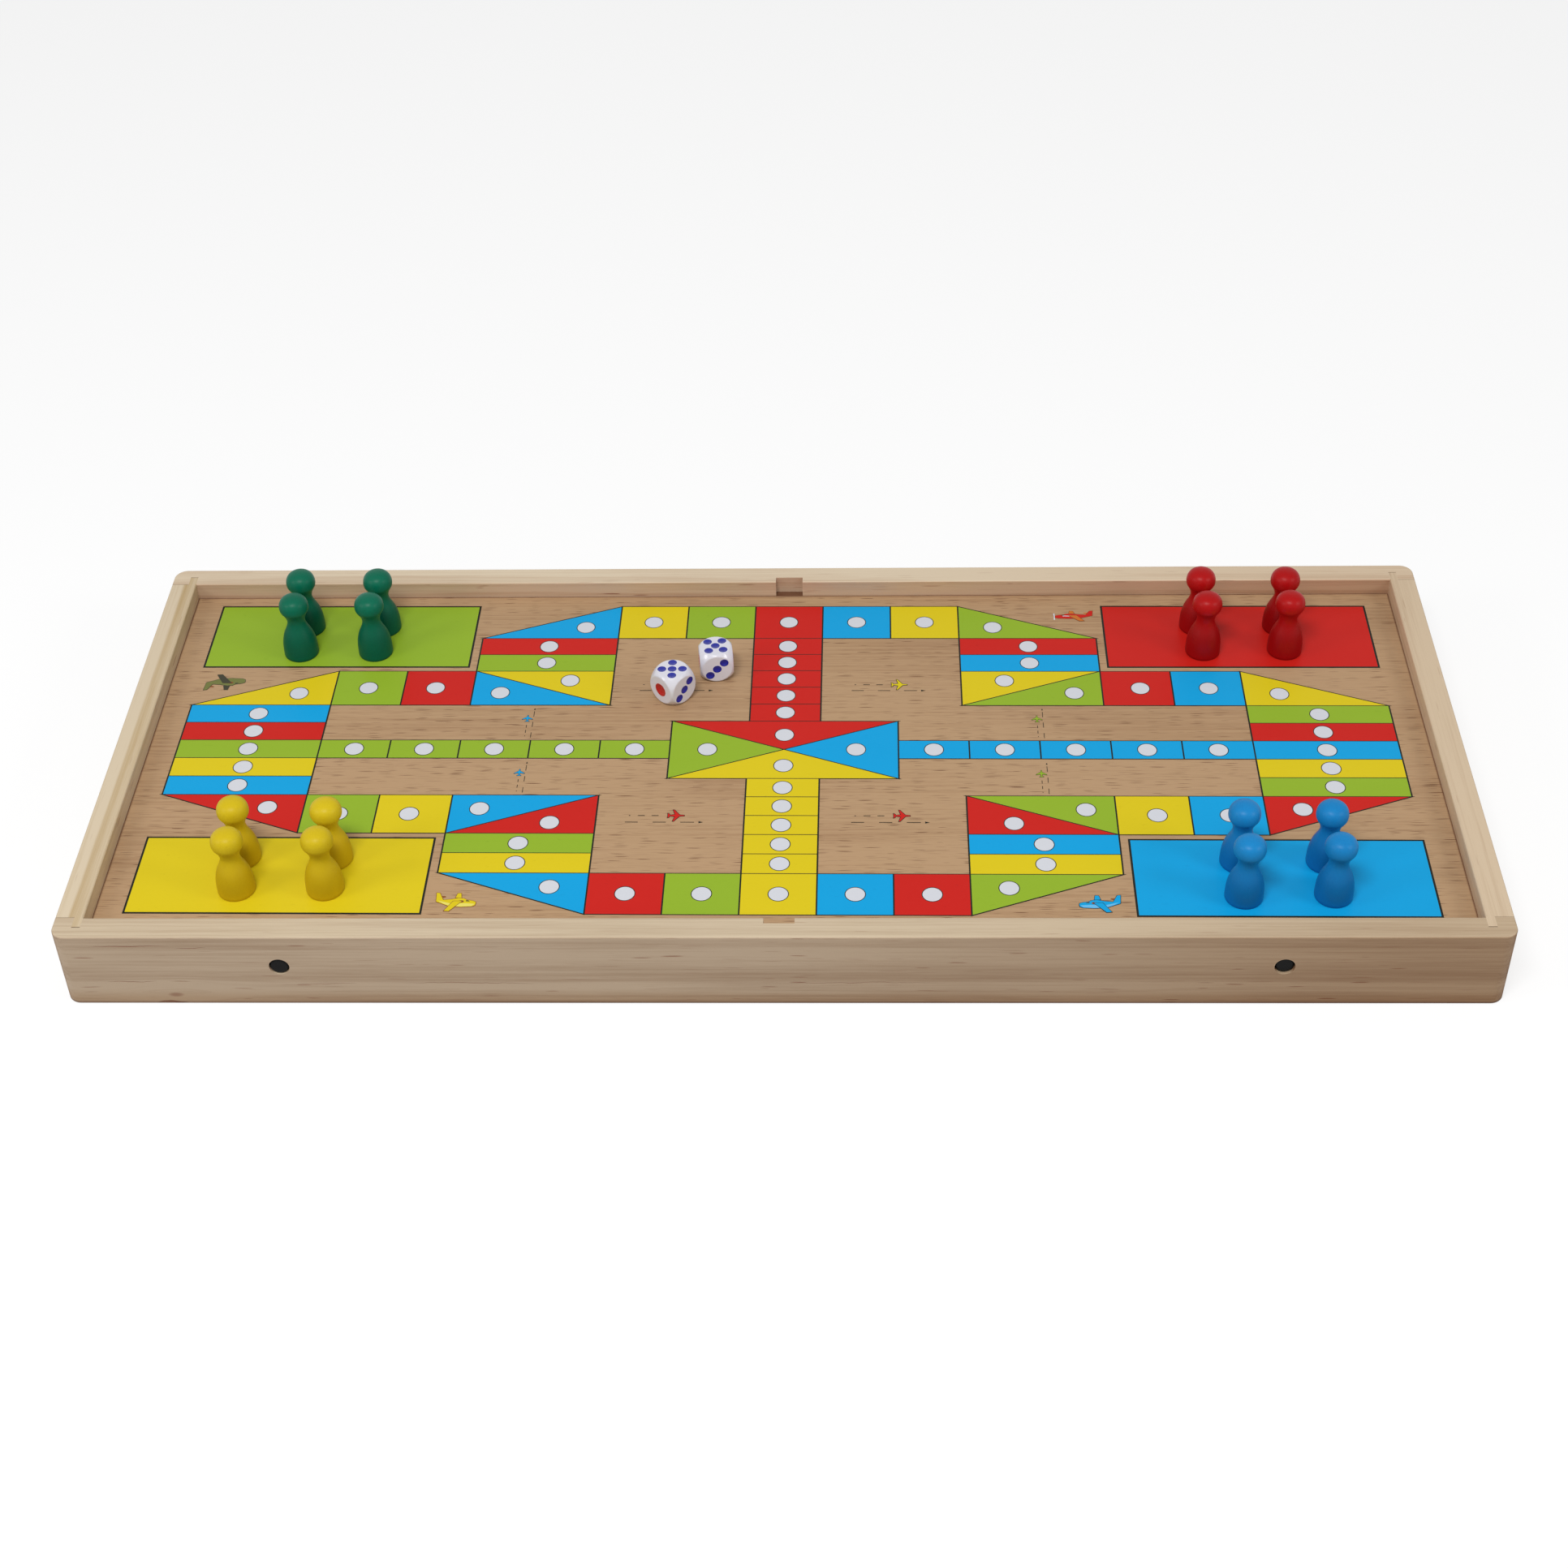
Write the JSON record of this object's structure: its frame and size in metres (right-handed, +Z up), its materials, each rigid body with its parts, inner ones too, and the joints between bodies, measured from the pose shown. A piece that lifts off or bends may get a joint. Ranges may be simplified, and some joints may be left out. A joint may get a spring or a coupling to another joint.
{
  "type": "sling puck game",
  "caption": "Wooden two-sided game tray: printed race board with pawns and dice on top, elastic sling court with a gated divider and pucks underneath.",
  "frame": {"origin": "middle of the tray's footprint, on the table", "axes": "+X along the tray's length, +Y to the back rail, +Z up from the printed side"},
  "size_m": [0.56, 0.24, 0.059],
  "materials": {
    "pine": "satin",
    "birch_ply": "satin",
    "beech": "satin",
    "ink_green": "satin",
    "ink_red": "satin",
    "ink_yellow": "satin",
    "ink_blue": "satin",
    "ink_white": "satin",
    "ink_dark": "satin",
    "paint_green": "gloss",
    "paint_red": "gloss",
    "paint_yellow": "gloss",
    "paint_blue": "gloss",
    "die_plastic": "gloss",
    "light_puck": "satin",
    "dark_puck": "satin",
    "black_elastic": "matte",
    "black_rubber": "matte"
  },
  "bodies": {
    "tray": {"front_rail": "pine", "back_rail": "pine", "left_rail": "pine", "right_rail": "pine", "game_panel": "birch_ply", "print_blue": "ink_blue", "print_dark": "ink_dark", "print_green": "ink_green", "print_red": "ink_red", "print_white": "ink_white", "print_yellow": "ink_yellow", "left_front_cord_stop": "black_rubber", "left_back_cord_stop": "black_rubber", "right_front_cord_stop": "black_rubber", "right_back_cord_stop": "black_rubber"},
    "divider": {"divider": "beech"},
    "left_sling": {"left_cord": "black_elastic"},
    "right_sling": {"right_cord": "black_elastic"},
    "left_puck_1": {"left_puck_1": "light_puck"},
    "left_puck_2": {"left_puck_2": "light_puck"},
    "left_puck_3": {"left_puck_3": "light_puck"},
    "left_puck_4": {"left_puck_4": "light_puck"},
    "left_puck_5": {"left_puck_5": "light_puck"},
    "right_puck_1": {"right_puck_1": "dark_puck"},
    "right_puck_2": {"right_puck_2": "dark_puck"},
    "right_puck_3": {"right_puck_3": "dark_puck"},
    "right_puck_4": {"right_puck_4": "dark_puck"},
    "right_puck_5": {"right_puck_5": "dark_puck"},
    "left_die": {"left_die": "die_plastic"},
    "right_die": {"right_die": "die_plastic"},
    "green_pawn_front_left": {"green_pawn_front_left": "paint_green"},
    "green_pawn_front_right": {"green_pawn_front_right": "paint_green"},
    "green_pawn_back_left": {"green_pawn_back_left": "paint_green"},
    "green_pawn_back_right": {"green_pawn_back_right": "paint_green"},
    "red_pawn_front_left": {"red_pawn_front_left": "paint_red"},
    "red_pawn_front_right": {"red_pawn_front_right": "paint_red"},
    "red_pawn_back_left": {"red_pawn_back_left": "paint_red"},
    "red_pawn_back_right": {"red_pawn_back_right": "paint_red"},
    "yellow_pawn_front_left": {"yellow_pawn_front_left": "paint_yellow"},
    "yellow_pawn_front_right": {"yellow_pawn_front_right": "paint_yellow"},
    "yellow_pawn_back_left": {"yellow_pawn_back_left": "paint_yellow"},
    "yellow_pawn_back_right": {"yellow_pawn_back_right": "paint_yellow"},
    "blue_pawn_front_left": {"blue_pawn_front_left": "paint_blue"},
    "blue_pawn_front_right": {"blue_pawn_front_right": "paint_blue"},
    "blue_pawn_back_left": {"blue_pawn_back_left": "paint_blue"},
    "blue_pawn_back_right": {"blue_pawn_back_right": "paint_blue"}
  },
  "joints": [
    {"name": "divider_pull", "type": "slide", "parent": "tray", "child": "divider", "axis": [0, 0, -1], "range_m": [0, 0.03]},
    {"name": "left_sling_draw", "type": "slide", "parent": "tray", "child": "left_sling", "axis": [-1, 0, 0], "range_m": [-0.012, 0.06], "stiffness_N_per_m": 160, "deforming": ["left_cord"]},
    {"name": "right_sling_draw", "type": "slide", "parent": "tray", "child": "right_sling", "axis": [1, 0, 0], "range_m": [-0.012, 0.06], "stiffness_N_per_m": 160, "deforming": ["right_cord"]},
    {"name": "left_puck_1_slide", "type": "slide", "parent": "tray", "child": "left_puck_1", "axis": [1, 0, 0], "range_m": [0, 0.2345]},
    {"name": "left_puck_2_slide", "type": "slide", "parent": "tray", "child": "left_puck_2", "axis": [1, 0, 0], "range_m": [0, 0.2345]},
    {"name": "left_puck_3_slide", "type": "slide", "parent": "tray", "child": "left_puck_3", "axis": [1, 0, 0], "range_m": [0, 0.2345]},
    {"name": "left_puck_4_slide", "type": "slide", "parent": "tray", "child": "left_puck_4", "axis": [1, 0, 0], "range_m": [0, 0.2345]},
    {"name": "left_puck_5_slide", "type": "slide", "parent": "tray", "child": "left_puck_5", "axis": [1, 0, 0], "range_m": [0, 0.2345]},
    {"name": "right_puck_1_slide", "type": "slide", "parent": "tray", "child": "right_puck_1", "axis": [-1, 0, 0], "range_m": [0, 0.2345]},
    {"name": "right_puck_2_slide", "type": "slide", "parent": "tray", "child": "right_puck_2", "axis": [-1, 0, 0], "range_m": [0, 0.2345]},
    {"name": "right_puck_3_slide", "type": "slide", "parent": "tray", "child": "right_puck_3", "axis": [-1, 0, 0], "range_m": [0, 0.2345]},
    {"name": "right_puck_4_slide", "type": "slide", "parent": "tray", "child": "right_puck_4", "axis": [-1, 0, 0], "range_m": [0, 0.2345]},
    {"name": "right_puck_5_slide", "type": "slide", "parent": "tray", "child": "right_puck_5", "axis": [-1, 0, 0], "range_m": [0, 0.2345]},
    {"name": "left_die_lift", "type": "slide", "parent": "tray", "child": "left_die", "axis": [0, 0, 1], "range_m": [0, 0.06]},
    {"name": "right_die_lift", "type": "slide", "parent": "tray", "child": "right_die", "axis": [0, 0, 1], "range_m": [0, 0.06]},
    {"name": "green_pawn_front_left_lift", "type": "slide", "parent": "tray", "child": "green_pawn_front_left", "axis": [0, 0, 1], "range_m": [0, 0.06]},
    {"name": "green_pawn_front_right_lift", "type": "slide", "parent": "tray", "child": "green_pawn_front_right", "axis": [0, 0, 1], "range_m": [0, 0.06]},
    {"name": "green_pawn_back_left_lift", "type": "slide", "parent": "tray", "child": "green_pawn_back_left", "axis": [0, 0, 1], "range_m": [0, 0.06]},
    {"name": "green_pawn_back_right_lift", "type": "slide", "parent": "tray", "child": "green_pawn_back_right", "axis": [0, 0, 1], "range_m": [0, 0.06]},
    {"name": "red_pawn_front_left_lift", "type": "slide", "parent": "tray", "child": "red_pawn_front_left", "axis": [0, 0, 1], "range_m": [0, 0.06]},
    {"name": "red_pawn_front_right_lift", "type": "slide", "parent": "tray", "child": "red_pawn_front_right", "axis": [0, 0, 1], "range_m": [0, 0.06]},
    {"name": "red_pawn_back_left_lift", "type": "slide", "parent": "tray", "child": "red_pawn_back_left", "axis": [0, 0, 1], "range_m": [0, 0.06]},
    {"name": "red_pawn_back_right_lift", "type": "slide", "parent": "tray", "child": "red_pawn_back_right", "axis": [0, 0, 1], "range_m": [0, 0.06]},
    {"name": "yellow_pawn_front_left_lift", "type": "slide", "parent": "tray", "child": "yellow_pawn_front_left", "axis": [0, 0, 1], "range_m": [0, 0.06]},
    {"name": "yellow_pawn_front_right_lift", "type": "slide", "parent": "tray", "child": "yellow_pawn_front_right", "axis": [0, 0, 1], "range_m": [0, 0.06]},
    {"name": "yellow_pawn_back_left_lift", "type": "slide", "parent": "tray", "child": "yellow_pawn_back_left", "axis": [0, 0, 1], "range_m": [0, 0.06]},
    {"name": "yellow_pawn_back_right_lift", "type": "slide", "parent": "tray", "child": "yellow_pawn_back_right", "axis": [0, 0, 1], "range_m": [0, 0.06]},
    {"name": "blue_pawn_front_left_lift", "type": "slide", "parent": "tray", "child": "blue_pawn_front_left", "axis": [0, 0, 1], "range_m": [0, 0.06]},
    {"name": "blue_pawn_front_right_lift", "type": "slide", "parent": "tray", "child": "blue_pawn_front_right", "axis": [0, 0, 1], "range_m": [0, 0.06]},
    {"name": "blue_pawn_back_left_lift", "type": "slide", "parent": "tray", "child": "blue_pawn_back_left", "axis": [0, 0, 1], "range_m": [0, 0.06]},
    {"name": "blue_pawn_back_right_lift", "type": "slide", "parent": "tray", "child": "blue_pawn_back_right", "axis": [0, 0, 1], "range_m": [0, 0.06]}
  ]
}
